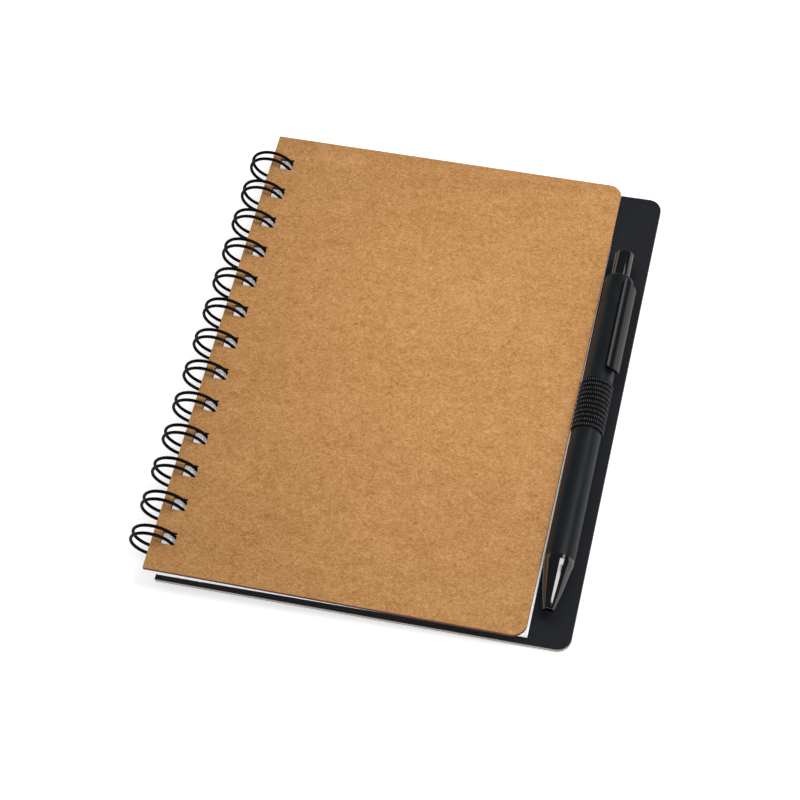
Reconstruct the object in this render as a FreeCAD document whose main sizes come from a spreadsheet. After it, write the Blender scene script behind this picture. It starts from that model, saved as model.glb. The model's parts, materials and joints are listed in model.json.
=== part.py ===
import FreeCAD, Part
import math
import os
import re
import Sketcher

# Spiral notebook: board covers, a page block, a twin-loop wire along the spine
# and a click pen held in a ribbed elastic loop on the wider back board.
# Lengths are millimetres.
# Every sheet and the pen are drawn about the ring centre of the wire, with x
# towards the fore edge, y up the spine and z towards the front cover.
# The whole notebook then tips about y, because it rests on the rings and on
# the fore edge of the back board. The leaves spread on the wire, so they lie
# thicker at the spine, and the front cover tips a little more than the board.

doc = FreeCAD.newDocument("spiral_notebook")
sheet = doc.addObject("Spreadsheet::Sheet", "Sizes")

SIZES = [
    ("cover_height", 176.0, "height of both boards along the spine"),
    ("front_width", 123.9, "front cover from spine edge to fore edge"),
    ("front_thickness", 1.5, "kraft board"),
    ("leaf_reach", 0.24, "leaves past the fore edge of the front cover"),
    ("block_thickness", 3.7, "all leaves together, at the fore edge"),
    ("spine_spread", 1.9, "how much thicker the leaves lie at the spine"),
    ("block_inset", 1.7, "leaves shorter than the boards, at each end"),
    ("back_width", 135.0, "back board, wide enough to carry the pen"),
    ("back_thickness", 1.7, "black board"),
    ("corner_radius", 4.5, "fore edge corners of both boards"),
    ("ring_radius", 7.45, "centre line of the wire rings"),
    ("ring_depth", 3.85, "ring centre below the top of the front cover"),
    ("wire_width", 1.1, "wire across its flats"),
    ("loop_spacing", 2.9, "centre to centre of the two wires of one loop"),
    ("loop_distance", 12.7, "two loops to the inch"),
    ("loop_margin", 6.0, "least paper between a leaf's ends and its outermost loops"),
    ("root_angle", 60.0, "closing seam of the rings, below the fore side"),
    ("root_bend", 1.0, "bend from a loop into the straight root wire"),
    ("tip_gap", 0.2, "between the loop tips and the root bends"),
    ("ring_facets", 18.0, "straight facets round one ring"),
    ("bend_facets", 3.0, "straight facets in a quarter bend"),
    ("hole_edge", 3.1, "spine edge of the front cover and leaves to their holes"),
    ("board_hole_edge", 1.65, "spine edge of the back board to its holes"),
    ("hole_width", 4.7, "punched hole across the spine"),
    ("hole_clearance", 0.15, "hole to wire along the spine"),
    ("ring_clearance", 0.2, "hole to wire across the spine"),
    ("pen_radius", 4.9, "pen barrel"),
    ("tip_place", 10.2, "pen point end above the lower edge of the boards"),
    ("tip_radius", 1.75, "mouth of the nose cone"),
    ("mouth_radius", 1.2, "bore of the nose cone mouth"),
    ("cone_length", 17.9, "nose cone, mouth to barrel"),
    ("cone_shoulder", 1.9, "short steep part between the cone and its collar"),
    ("shoulder_step", 0.45, "how far that part draws in"),
    ("cone_collar", 1.6, "straight glossy collar of the nose cone"),
    ("barrel_length", 96.7, "barrel between nose cone and top cap"),
    ("barrel_wall", 0.75, "barrel wall"),
    ("cap_length", 12.0, "top cap that carries the clip"),
    ("cap_chamfer", 0.9, "shoulder of the top cap"),
    ("lip_length", 2.0, "top lip that keeps the plunger in"),
    ("spigot_length", 7.0, "length of each plug fit in the barrel"),
    ("spigot_wall", 0.5, "wall of the plug fits"),
    ("running_gap", 0.05, "radial clearance of sliding and plug fits"),
    ("plunger_radius", 3.25, "push button"),
    ("button_left", 5.7, "what is left of the push button when it is pressed in"),
    ("plunger_chamfer", 0.3, "edge of the push button"),
    ("collar_length", 3.0, "wide part of the plunger inside the cap"),
    ("collar_step", 0.35, "wide part of the plunger past its button"),
    ("plunger_tail", 5.0, "plunger below its collar"),
    ("rotor_radius", 3.3, "click rotor"),
    ("rotor_length", 5.5, "click rotor"),
    ("rotor_skirt", 2.2, "splined part of the click rotor"),
    ("spline_count", 4.0, "splines on the click rotor"),
    ("spline_width", 1.1, "width of a rotor spline"),
    ("spline_depth", 0.35, "rotor body inside its splines"),
    ("click_travel", 5.0, "how far the button pushes the refill"),
    ("refill_radius", 1.5, "plastic refill tube"),
    ("refill_wall", 0.35, "wall of the refill tube"),
    ("refill_nose", 20.0, "metal front of the refill"),
    ("refill_neck", 1.0, "radius of the metal front"),
    ("point_radius", 0.35, "ball end of the refill"),
    ("point_setback", 1.8, "ball end inside the cone's mouth at rest"),
    ("point_cone", 2.4, "tapered end of the metal front"),
    ("seat_length", 5.0, "thick front of the cone that the spring stands on"),
    ("spring_radius", 1.3, "centre line of the return spring"),
    ("spring_wire", 0.36, "square section of the return spring"),
    ("spring_turns", 8.0, "turns of the return spring"),
    ("spring_facets", 8.0, "straight facets in one turn of the spring"),
    ("band_thickness", 0.5, "elastic loop, over its ribs"),
    ("band_groove", 0.2, "depth between the ribs"),
    ("band_slack", 0.05, "elastic loop to pen"),
    ("band_place", 75.2, "lower edge of the elastic loop"),
    ("rib_count", 11.0, "ribs of the elastic"),
    ("rib_distance", 1.74, "from rib to rib"),
    ("rib_sides", 32.0, "flat sides round one rib"),
    ("foot_width", 8.0, "flat part of the elastic, glued to the board"),
    ("band_gap", 0.26, "elastic to the edge of the front cover"),
    ("clip_place", 98.3, "free end of the clip above the lower edge"),
    ("clip_length", 34.9, "clip"),
    ("clip_gap", 0.7, "clip to barrel"),
    ("clip_thickness", 1.3, "clip"),
    ("clip_width", 5.9, "clip"),
    ("clip_turn", 45.0, "clip round the pen, from straight up"),
    ("clip_corner", 1.6, "corners of the clip"),
    ("bridge_length", 5.0, "foot that joins the clip to the cap"),
    ("bridge_width", 4.0, "foot that joins the clip to the cap"),
    ("bridge_place", 1.0, "foot of the clip below its top end"),
    ("bead_length", 2.4, "bead under the free end of the clip"),
    ("bead_place", 1.2, "bead above the free end"),
]

for row, (alias, number, note) in enumerate(SIZES, start=1):
    sheet.set("A%d" % row, alias)
    sheet.set("B%d" % row, str(number))
    sheet.set("C%d" % row, note)
    sheet.setAlias("B%d" % row, alias)
doc.recompute()

ALIASES = [alias for alias, number, note in SIZES]
WORD = re.compile(r"[A-Za-z_]\w*")


def bound(formula):
    """The formula with each size name pointing at its cell."""
    def cell(word):
        name = word.group(0)
        return "Sizes." + name if name in ALIASES else name
    return WORD.sub(cell, formula)


def size(alias):
    return float(sheet.get(alias))


# Places that several pieces share, as formulas on the sizes
BLOCK_TOP = "(ring_depth - front_thickness)"
BLOCK_UNDER = "(ring_depth - front_thickness - block_thickness - spine_spread)"
RING_IN = "(ring_radius - wire_width / 2)"
RING_OUT = "(ring_radius + wire_width / 2)"
FRONT_LEFT = "(sqrt(%s^2 - %s^2) + ring_clearance - hole_width - hole_edge)" % (RING_OUT, BLOCK_TOP)
BLOCK_LEFT = "(sqrt(%s^2 - %s^2) - ring_clearance - hole_edge)" % (RING_IN, BLOCK_UNDER)
BLOCK_RIGHT = "(%s + front_width + leaf_reach)" % FRONT_LEFT
SPREAD = "atan(spine_spread / %s)" % BLOCK_RIGHT
BACK_TOP = "(%s * cos(%s))" % (BLOCK_UNDER, SPREAD)
BACK_UNDER = "(%s - back_thickness)" % BACK_TOP
BACK_LEFT = "(sqrt(%s^2 - %s^2) - ring_clearance - board_hole_edge)" % (RING_IN, BACK_UNDER)
BACK_RIGHT = "(%s + back_width)" % BACK_LEFT
HEX_HALF = "(wire_width / sqrt(3))"
HOLE_HEIGHT = "(loop_spacing + 2 * %s + 2 * hole_clearance)" % HEX_HALF
LOOP_ROOM = "(cover_height - 2 * block_inset - 2 * loop_margin)"
LOOP_COUNT = "(floor(%s / loop_distance) + 1)" % LOOP_ROOM
FIRST_LOOP = "((cover_height - floor(%s / loop_distance) * loop_distance) / 2)" % LOOP_ROOM

# The rings touch the table, and so does the fore edge of the back board
REACH = "sqrt(%s^2 + %s^2)" % (BACK_RIGHT, BACK_UNDER)
TILT = "(asin(%s / %s) - atan(-1 * %s / %s))" % (RING_OUT, REACH, BACK_UNDER, BACK_RIGHT)
COVER_TILT = "(%s + %s)" % (TILT, SPREAD)
FORE_EDGE = "(%s * cos(%s) + %s * sin(%s))" % (BACK_RIGHT, TILT, BACK_TOP, TILT)
CENTRE_X = "((%s - %s) / 2)" % (RING_OUT, FORE_EDGE)
CENTRE_Z = RING_OUT

# The pen lies in its elastic loop, beside the fore edge of the front cover
BAND_INNER = "(pen_radius + band_slack)"
BAND_OUTER = "(pen_radius + band_slack + band_thickness)"
PEN_X = "(%s + front_width + band_gap + %s)" % (FRONT_LEFT, BAND_OUTER)
PEN_Z = "(%s + %s)" % (BACK_TOP, BAND_OUTER)
BARREL_START = "(tip_place + cone_length)"
CAP_START = "(%s + barrel_length)" % BARREL_START
CAP_END = "(%s + cap_length)" % CAP_START
BARREL_BORE = "(pen_radius - barrel_wall)"
SPIGOT = "(pen_radius - barrel_wall - running_gap)"
CAP_BORE = "(plunger_radius + collar_step + running_gap)"
POINT_END = "(tip_place + point_setback)"
NOSE_END = "(%s + refill_nose)" % POINT_END
COLLAR_END = "(%s - lip_length - running_gap)" % CAP_END
PLUNGER_END = "(%s - collar_length - plunger_tail)" % COLLAR_END
ROTOR_START = "(%s - rotor_length)" % PLUNGER_END
CLIP_INNER = "(pen_radius + clip_gap)"
CLIP_OUTER = "(pen_radius + clip_gap + clip_thickness)"
BRIDGE_START = "(clip_place + clip_length - bridge_place - bridge_length)"
PLUNGER_LENGTH = "(click_travel + button_left)"


def evaluate(formula):
    """The number that a formula on the sizes gives."""
    return float(sheet.evalExpression(bound(formula)))


def stand(piece, tilt=TILT):
    """Put a piece that is drawn about the ring centre where the notebook rests."""
    piece.Placement = FreeCAD.Placement(
        FreeCAD.Vector(0, 0, 0), FreeCAD.Rotation(FreeCAD.Vector(0, 1, 0), 1)
    )
    piece.setExpression("Placement.Base.x", bound(CENTRE_X))
    piece.setExpression("Placement.Base.y", bound("-1 * cover_height / 2"))
    piece.setExpression("Placement.Base.z", bound(CENTRE_Z))
    piece.setExpression("Placement.Rotation.Angle", bound(tilt))


def new_body(label, tilt=TILT):
    body = doc.addObject("PartDesign::Body", label)
    body.Label = label
    stand(body, tilt)
    return body


def origin_feature(body, role):
    return next(o for o in body.Origin.OriginFeatures if o.Role == role)


def new_sketch(body, name, role, offset=("0", "0", "0")):
    """A sketch on one of the body's own planes, moved by offset in that plane's axes."""
    sketch = body.newObject("Sketcher::SketchObject", name)
    sketch.AttachmentSupport = [(origin_feature(body, role), "")]
    sketch.MapMode = "FlatFace"
    for axis, formula in zip("xyz", offset):
        sketch.setExpression("AttachmentOffset.Base." + axis, bound(formula))
    return sketch


def pin(sketch, geometry, end, x, y):
    """Hold one end of a sketch line at two formulas."""
    for kind, formula in (("DistanceX", x), ("DistanceY", y)):
        number = evaluate(formula)
        index = sketch.addConstraint(Sketcher.Constraint(kind, -1, 1, geometry, end, number))
        sketch.setExpression("Constraints[%d]" % index, bound(formula))


def add_outline(sketch, points):
    """A closed outline of straight lines, each corner held at its two formulas."""
    spots = [FreeCAD.Vector(evaluate(x), evaluate(y), 0) for x, y in points]
    count = len(points)
    for i in range(count):
        sketch.addGeometry(Part.LineSegment(spots[i], spots[(i + 1) % count]), False)
    for i in range(count):
        sketch.addConstraint(Sketcher.Constraint("Coincident", i, 2, (i + 1) % count, 1))
    for i, (x, y) in enumerate(points):
        pin(sketch, i, 1, x, y)


def rectangle(x0, y0, x1, y1):
    return [(x0, y0), (x1, y0), (x1, y1), (x0, y1)]


def pad(body, name, sketch, length, reverse=False):
    feature = body.newObject("PartDesign::Pad", name)
    feature.Profile = sketch
    feature.Reversed = reverse
    feature.setExpression("Length", bound(length))
    return feature


def pocket(body, name, sketch, length, reverse=False):
    feature = body.newObject("PartDesign::Pocket", name)
    feature.Profile = sketch
    feature.Reversed = reverse
    feature.setExpression("Length", bound(length))
    return feature


def repeat(body, name, feature, role, count, length):
    """Copies of a feature in a row along one of the body's axes."""
    pattern = body.newObject("PartDesign::LinearPattern", name)
    pattern.Originals = [feature]
    pattern.Direction = (origin_feature(body, role), [""])
    pattern.setExpression("Occurrences", bound(count))
    pattern.setExpression("Length", bound(length))
    body.Tip = pattern
    return pattern


def edges_where(feature, wanted):
    """Names of a feature's edges whose middle passes the test."""
    names = []
    for i, edge in enumerate(feature.Shape.Edges, start=1):
        middle = edge.valueAt((edge.FirstParameter + edge.LastParameter) / 2)
        if wanted(edge, middle):
            names.append("Edge%d" % i)
    return names


def fillet(body, name, base, edges, radius):
    feature = body.newObject("PartDesign::Fillet", name)
    feature.Base = (base, edges)
    feature.setExpression("Radius", bound(radius))
    return feature


def turned_body(label, outline):
    """A piece turned about the pen's axis: points are radius and height above the lower edge."""
    body = new_body(label)
    sketch = new_sketch(body, label + "_profile", "XY_Plane", (PEN_X, "0", PEN_Z))
    add_outline(sketch, outline)
    turned = body.newObject("PartDesign::Revolution", label + "_turned")
    turned.Profile = sketch
    turned.ReferenceAxis = (sketch, ["V_Axis"])
    turned.Angle = 360
    return body, turned


# Boards and leaves

def board_plate(body, left, width, under, thickness):
    """A flat board with its two fore edge corners rounded."""
    flat = new_sketch(body, body.Label + "_outline", "XY_Plane", (left, "0", under))
    add_outline(flat, rectangle("0", "0", width, "cover_height"))
    plate = pad(body, body.Label + "_plate", flat, thickness)
    doc.recompute()
    middle_x = evaluate(left + " + " + width + " / 2")
    thick = evaluate(thickness)

    def corner(edge, middle):
        upright = abs(edge.Length - thick) < 1e-6
        return upright and middle.x > middle_x

    return fillet(body, body.Label + "_corners", plate, edges_where(plate, corner), "corner_radius")


def leaf_block(body):
    """All the leaves: thick at the spine, where they spread on the wire, and thinner away from it."""
    profile = new_sketch(body, body.Label + "_profile", "XZ_Plane", ("0", "0", "-1 * block_inset"))
    under_spine = "(%s + %s * tan(%s))" % (BLOCK_UNDER, BLOCK_LEFT, SPREAD)
    add_outline(profile, [
        (BLOCK_LEFT, BLOCK_TOP),
        (BLOCK_LEFT, under_spine),
        (BLOCK_RIGHT, "%s - block_thickness" % BLOCK_TOP),
        (BLOCK_RIGHT, BLOCK_TOP),
    ])
    return pad(body, body.Label + "_plate", profile, "cover_height - 2 * block_inset", reverse=True)


# A hole through the leaves is a little shallower than the block is deep at the wire
HOLE_CHECK = 0.9


def punch(body, plate, first_hole, under, depth):
    """A row of holes through a plate, one for each loop of the wire."""
    label = body.Label
    hole = new_sketch(
        body, label + "_hole", "XY_Plane",
        (first_hole, FIRST_LOOP + " - %s / 2" % HOLE_HEIGHT, under),
    )
    add_outline(hole, rectangle("0", "0", "hole_width", HOLE_HEIGHT))
    doc.recompute()
    solid_volume = plate.Shape.Volume
    punched = pocket(body, label + "_punched", hole, depth, reverse=True)
    doc.recompute()
    one_hole = evaluate("hole_width * %s * %s" % (HOLE_HEIGHT, depth))
    if solid_volume - punched.Shape.Volume < HOLE_CHECK * one_hole:
        raise RuntimeError("the holes of " + label + " are not cut through")
    repeat(
        body, label + "_row", punched, "Y_Axis", LOOP_COUNT, "(%s - 1) * loop_distance" % LOOP_COUNT
    )
    return body


pieces = []

front = new_body("front_cover", COVER_TILT)
front_plate = board_plate(front, FRONT_LEFT, "front_width", BLOCK_TOP, "front_thickness")
pieces.append(punch(
    front, front_plate, FRONT_LEFT + " + hole_edge", BLOCK_TOP, "front_thickness"
))

block = new_body("page_block", COVER_TILT)
block_plate = leaf_block(block)
pieces.append(punch(
    block, block_plate, BLOCK_LEFT + " + hole_edge", BLOCK_UNDER, "(block_thickness + spine_spread)"
))

back = new_body("back_cover")
back_plate = board_plate(back, BACK_LEFT, "back_width", BACK_UNDER, "back_thickness")
pieces.append(punch(
    back, back_plate, BACK_LEFT + " + board_hole_edge", BACK_UNDER, "back_thickness"
))


# Twin-loop wire: one length of wire, bent into double rings that hang from a root wire.
# It runs through stations, each a hexagon square to the wire, with flat sides between.

def faceted_rod(sections, flat_sides):
    """A solid through a row of closed sections that have the same number of corners."""
    faces = []
    for near, far in zip(sections, sections[1:]):
        count = len(near)
        for i in range(count):
            j = (i + 1) % count
            side = [near[i], near[j], far[j], far[i]]
            if flat_sides:
                faces.append(Part.Face(Part.makePolygon(side + side[:1])))
            else:
                for corners in ([side[0], side[1], side[2]], [side[0], side[2], side[3]]):
                    faces.append(Part.Face(Part.makePolygon(corners + corners[:1])))
    for end in (sections[0], sections[-1]):
        faces.append(Part.Face(Part.makePolygon(end + end[:1])))
    shell = Part.makeShell(faces)
    shell.sewShape()
    solid = Part.makeSolid(shell.Shells[0] if shell.Shells else shell)
    if solid.Volume < 0:
        solid.reverse()
    return solid


HEXAGON_SIDES = 6


def hexagon(centre, outwards, sideways):
    """Corners of the wire's section, with a flat side facing outwards."""
    corner = size("wire_width") / math.sqrt(3)
    points = []
    for k in range(HEXAGON_SIDES):
        turn = 2 * math.pi * k / HEXAGON_SIDES
        points.append(
            centre + outwards * (corner * math.sin(turn)) + sideways * (corner * math.cos(turn))
        )
    return points


def ring_point(angle, radius, y, along=0.0):
    """A point on the rings; along moves it off the ring, along its tangent."""
    turn = math.radians(angle)
    return FreeCAD.Vector(
        radius * math.cos(turn) - along * math.sin(turn),
        y,
        radius * math.sin(turn) + along * math.cos(turn),
    )


def twin_loop_wire():
    radius = size("ring_radius")
    half = size("loop_spacing") / 2
    bend = size("root_bend")
    pitch = size("loop_distance")
    loops = round(evaluate(LOOP_COUNT))
    ring_steps = int(size("ring_facets"))
    bend_steps = int(size("bend_facets"))
    root = -size("root_angle")
    thick = 2 * size("wire_width") / math.sqrt(3)

    # The bend at a loop's tip keeps clear of the two root bends beside it
    apart = half + bend + thick + size("tip_gap")
    setback = math.sqrt(apart ** 2 - (half + bend) ** 2)
    tip = root + 360 - math.degrees(setback / radius)

    spine = FreeCAD.Vector(0, 1, 0)
    sections = []

    def ring(start, end, y, sideways):
        for k in range(ring_steps + 1):
            angle = start + (end - start) * k / ring_steps
            sections.append(hexagon(ring_point(angle, radius, y), ring_point(angle, 1, 0), sideways))

    def flat_bend(angle, centre_y, bend_radius, centre_along, start, end, steps):
        """A bend in the plane that touches the rings at angle; its own turn goes from start to end."""
        outwards = ring_point(angle, 1, 0)
        along = ring_point(angle, 0, 0, 1)
        for k in range(1, steps + 1):
            turn = math.radians(start + (end - start) * k / steps)
            away = spine * math.cos(turn) + along * math.sin(turn)
            centre = ring_point(angle, radius, centre_y, centre_along)
            # Corners keep their order along the wire, so the section's side vector follows the turn
            side = -1 if end < start else 1
            sections.append(hexagon(centre + away * bend_radius, outwards, away * side))

    for k in range(loops):
        y = evaluate(FIRST_LOOP) + k * pitch
        if k:
            flat_bend(root, y - half - bend, bend, 0, -90, 0, bend_steps)
            sections.pop()
        ring(root, tip, y - half, spine)
        flat_bend(tip, y, half, 0, 180, 0, 2 * bend_steps)
        sections.pop()
        ring(tip, root, y + half, spine * -1)
        if k < loops - 1:
            flat_bend(root, y + half + bend, bend, 0, 180, 270, bend_steps)
            corner = ring_point(root, radius, y + pitch - half - bend, -bend)
            outwards = ring_point(root, 1, 0)
            sections.append(hexagon(corner, outwards, ring_point(root, 0, 0, -1)))
    return faceted_rod(sections, True)


wire = doc.addObject("Part::Feature", "wire_binding")
wire.Label = "wire_binding"
wire.Shape = twin_loop_wire()
stand(wire)
pieces.append(wire)


# Elastic loop: a ribbed band round the pen with a flat foot glued to the back board

def flat_sided_ring(rings):
    """A solid from rings of corners, each ring joined to the next and the last to the first."""
    faces = []
    for near, far in zip(rings, rings[1:] + rings[:1]):
        count = len(near)
        for i in range(count):
            j = (i + 1) % count
            faces.append(Part.Face(Part.makePolygon([near[i], near[j], far[j], far[i], near[i]])))
    shell = Part.makeShell(faces)
    shell.sewShape()
    solid = Part.makeSolid(shell)
    if solid.Volume < 0:
        solid.reverse()
    return solid


def elastic_loop():
    inner = evaluate(BAND_INNER)
    crest = evaluate(BAND_OUTER)
    groove = crest - size("band_groove")
    low = size("band_place")
    pitch = size("rib_distance")
    ribs = int(size("rib_count"))
    sides = int(size("rib_sides"))
    centre = FreeCAD.Vector(evaluate(PEN_X), 0, evaluate(PEN_Z))

    # The band touches the cover and the board with flat sides, so corners stand half a side away
    outline = [(inner, low + ribs * pitch), (inner, low)]
    for k in range(ribs):
        outline.append((groove, low + k * pitch))
        outline.append((crest, low + (k + 0.5) * pitch))
    outline.append((groove, low + ribs * pitch))
    rings = []
    for radius, height in outline:
        corner = radius / math.cos(math.pi / sides)
        ring = []
        for k in range(sides):
            turn = 2 * math.pi * (k + 0.5) / sides
            away = FreeCAD.Vector(math.cos(turn), 0, math.sin(turn))
            ring.append(centre + away * corner + FreeCAD.Vector(0, height, 0))
        rings.append(ring)

    width = size("foot_width")
    foot_low = evaluate(BACK_TOP)
    corner = FreeCAD.Vector(centre.x - width / 2, low, foot_low)
    foot = Part.makeBox(width, ribs * pitch, size("band_thickness"), corner)
    return flat_sided_ring(rings).fuse(foot)


band = doc.addObject("Part::Feature", "pen_loop")
band.Label = "pen_loop"
band.Shape = elastic_loop()
stand(band)
pieces.append(band)


# Pen: barrel, nose cone, top cap, clip, button, click rotor, refill and spring

pieces.append(turned_body(
    "pen_barrel", rectangle(BARREL_BORE, BARREL_START, "pen_radius", CAP_START)
)[0])


def nose_cone():
    collar_start = "(%s - cone_collar)" % BARREL_START
    shoulder_start = "(%s - cone_shoulder)" % collar_start
    plug_end = "(%s + spigot_length)" % BARREL_START
    bore = "(%s - spigot_wall)" % SPIGOT
    seat_end = "(tip_place + seat_length)"
    seat_bore = "(spring_radius + spring_wire)"
    outline = [
        ("mouth_radius", "tip_place"),
        ("tip_radius", "tip_place"),
        ("pen_radius - shoulder_step", shoulder_start),
        ("pen_radius", collar_start),
        ("pen_radius", BARREL_START),
        (SPIGOT, BARREL_START),
        (SPIGOT, plug_end),
        (bore, plug_end),
        (bore, shoulder_start),
        (seat_bore, shoulder_start),
        (seat_bore, seat_end),
        ("mouth_radius", seat_end),
    ]
    return turned_body("nose_cone", outline)[0]


pieces.append(nose_cone())


def top_cap():
    plug_start = "(%s - spigot_length)" % CAP_START
    lip = "(plunger_radius + running_gap)"
    lip_start = "(%s - lip_length)" % CAP_END
    outline = [
        (CAP_BORE, plug_start),
        (SPIGOT, plug_start),
        (SPIGOT, CAP_START),
        ("pen_radius", CAP_START),
        ("pen_radius", "%s - cap_chamfer" % CAP_END),
        ("pen_radius - cap_chamfer", CAP_END),
        (lip, CAP_END),
        (lip, lip_start),
        (CAP_BORE, lip_start),
    ]
    return turned_body("top_cap", outline)[0]


pieces.append(top_cap())


def clip():
    """A curved strip along the pen, joined to the top cap by a foot, with a bead at its free end."""
    body = new_body("pen_clip")

    def strip(name, inner, outer, width, start, length):
        sketch = new_sketch(body, name + "_section", "XZ_Plane", (PEN_X, PEN_Z, "-1 * " + start))
        half_turn = "(asin(%s / (2 * %s)))" % (width, CLIP_OUTER)
        low = "(90deg - clip_turn * 1deg - %s)" % half_turn
        high = "(90deg - clip_turn * 1deg + %s)" % half_turn
        corners = [
            ("%s * cos(%s)" % (inner, low), "%s * sin(%s)" % (inner, low)),
            ("%s * cos(%s)" % (outer, low), "%s * sin(%s)" % (outer, low)),
            ("%s * cos(%s)" % (outer, high), "%s * sin(%s)" % (outer, high)),
            ("%s * cos(%s)" % (inner, high), "%s * sin(%s)" % (inner, high)),
        ]
        spots = [FreeCAD.Vector(evaluate(x), evaluate(y), 0) for x, y in corners]
        first = math.radians(evaluate(low))
        last = math.radians(evaluate(high))

        def arc(radius):
            circle = Part.Circle(FreeCAD.Vector(0, 0, 0), FreeCAD.Vector(0, 0, 1), evaluate(radius))
            return Part.ArcOfCircle(circle, first, last)

        sides = [
            Part.LineSegment(spots[0], spots[1]),
            arc(outer),
            Part.LineSegment(spots[2], spots[3]),
            arc(inner),
        ]
        for side in sides:
            sketch.addGeometry(side, False)
        joins = [(0, 2, 1, 1), (1, 2, 2, 1), (2, 2, 3, 2), (3, 1, 0, 1), (1, 3, -1, 1), (3, 3, -1, 1)]
        for join in joins:
            sketch.addConstraint(Sketcher.Constraint("Coincident", *join))
        pin(sketch, 0, 1, *corners[0])
        pin(sketch, 0, 2, *corners[1])
        # The last two corners are already on the arcs, so one more size holds each
        for end, corner in ((1, corners[2]), (2, corners[3])):
            number = evaluate(corner[0])
            index = sketch.addConstraint(Sketcher.Constraint("DistanceX", -1, 1, 2, end, number))
            sketch.setExpression("Constraints[%d]" % index, bound(corner[0]))
        return pad(body, name, sketch, length, reverse=True)

    strip_pad = strip("clip_strip", CLIP_INNER, CLIP_OUTER, "clip_width", "clip_place", "clip_length")
    doc.recompute()
    thick = evaluate("clip_thickness")

    def corner(edge, middle):
        return abs(edge.Length - thick) < 1e-6

    fillet(body, "clip_corners", strip_pad, edges_where(strip_pad, corner), "clip_corner")
    doc.recompute()
    strip("clip_foot", "pen_radius", "(%s + clip_thickness / 2)" % CLIP_INNER,
          "bridge_width", BRIDGE_START, "bridge_length")
    strip("clip_bead", "(pen_radius + running_gap)", "(%s + clip_thickness / 2)" % CLIP_INNER,
          "bridge_width", "(clip_place + bead_place)", "bead_length")
    doc.recompute()
    return body


pieces.append(clip())


def plunger():
    """The push button, with a collar that the cap's lip holds in, and a hollow tail."""
    collar = "(plunger_radius + collar_step)"
    collar_start = "(%s - collar_length)" % COLLAR_END
    button_end = "(%s + %s)" % (CAP_END, PLUNGER_LENGTH)
    hollow = "(plunger_radius - spigot_wall)"
    outline = [
        ("0", collar_start),
        (hollow, collar_start),
        (hollow, PLUNGER_END),
        ("plunger_radius", PLUNGER_END),
        ("plunger_radius", collar_start),
        (collar, collar_start),
        (collar, COLLAR_END),
        ("plunger_radius", COLLAR_END),
        ("plunger_radius", "%s - plunger_chamfer" % button_end),
        ("plunger_radius - plunger_chamfer", button_end),
        ("0", button_end),
    ]
    return turned_body("plunger", outline)[0]


pieces.append(plunger())


def click_rotor():
    """The turning cam below the button: a splined skirt that the refill pushes against."""
    core = "(rotor_radius - spline_depth)"
    rotor_end = "(%s + rotor_length)" % ROTOR_START
    skirt_start = "(%s - rotor_skirt)" % rotor_end
    stem = "(refill_radius + spigot_wall)"
    body, turned = turned_body("click_rotor", [
        ("0", ROTOR_START),
        (stem, ROTOR_START),
        (core, skirt_start),
        (core, rotor_end),
        ("0", rotor_end),
    ])
    doc.recompute()
    section = new_sketch(
        body, "spline_section", "XY_Plane",
        (PEN_X, skirt_start, PEN_Z + " - spline_width / 2"),
    )
    add_outline(section, rectangle(core + " / 2", "0", "rotor_radius", "rotor_skirt"))
    spline = pad(body, "rotor_spline", section, "spline_width")
    doc.recompute()
    ring = body.newObject("PartDesign::PolarPattern", "rotor_splines")
    ring.Originals = [spline]
    ring.Axis = (body.getObject("click_rotor_profile"), ["V_Axis"])
    ring.Angle = 360
    ring.setExpression("Occurrences", bound("spline_count"))
    body.Tip = ring
    doc.recompute()
    return body


pieces.append(click_rotor())

pieces.append(turned_body("refill_tube", [
    ("refill_radius - refill_wall", NOSE_END),
    ("refill_radius", NOSE_END),
    ("refill_radius", ROTOR_START),
    ("refill_radius - refill_wall", ROTOR_START),
])[0])

pieces.append(turned_body("refill_tip", [
    ("0", POINT_END),
    ("point_radius", POINT_END),
    ("refill_neck", POINT_END + " + point_cone"),
    ("refill_neck", NOSE_END),
    ("0", NOSE_END),
])[0])


def return_spring():
    """A square-wire coil from the cone's seat to the shoulder of the refill tube."""
    half = size("spring_wire") / 2
    radius = size("spring_radius")
    low = evaluate("tip_place + seat_length") + half
    high = evaluate(NOSE_END) - half
    turns = size("spring_turns")
    facets = int(size("spring_facets"))
    steps = int(turns * facets)
    axis = FreeCAD.Vector(evaluate(PEN_X), 0, evaluate(PEN_Z))
    up = FreeCAD.Vector(0, 1, 0)
    sections = []
    for k in range(steps + 1):
        turn = 2 * math.pi * k / facets
        away = FreeCAD.Vector(math.cos(turn), 0, math.sin(turn))
        centre = axis + up * (low + (high - low) * k / steps) + away * radius
        sections.append([
            centre + away * (half * x) + up * (half * y)
            for x, y in ((-1, -1), (1, -1), (1, 1), (-1, 1))
        ])
    return faceted_rod(sections, False)


spring = doc.addObject("Part::Feature", "return_spring")
spring.Label = "return_spring"
spring.Shape = return_spring()
stand(spring)
pieces.append(spring)

doc.recompute()

for thing in doc.Objects:
    if "Invalid" in thing.State or "Error" in thing.State:
        raise RuntimeError("%s did not build: %s" % (thing.Name, thing.State))

os.makedirs("parts", exist_ok=True)
for piece in pieces:
    shape = piece.Shape
    if shape.isNull() or not shape.isValid():
        raise RuntimeError("%s has no sound shape" % piece.Label)
    print("%-14s solids %d volume %9.2f" % (piece.Label, len(shape.Solids), shape.Volume))
    shape.exportStep("parts/%s.step" % piece.Label)
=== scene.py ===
# %% [markdown]
# A spiral notebook lies on a white table: a kraft cover, white leaves, a black
# back board that is wider than the rest, a twin-loop wire along the spine and a
# click pen in an elastic loop. The solids come ready made, in metres and at
# their real places. This lesson gives each of them its surface, and makes again
# the pieces whose edges, ribs or leaves the plain solids leave out.

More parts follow.
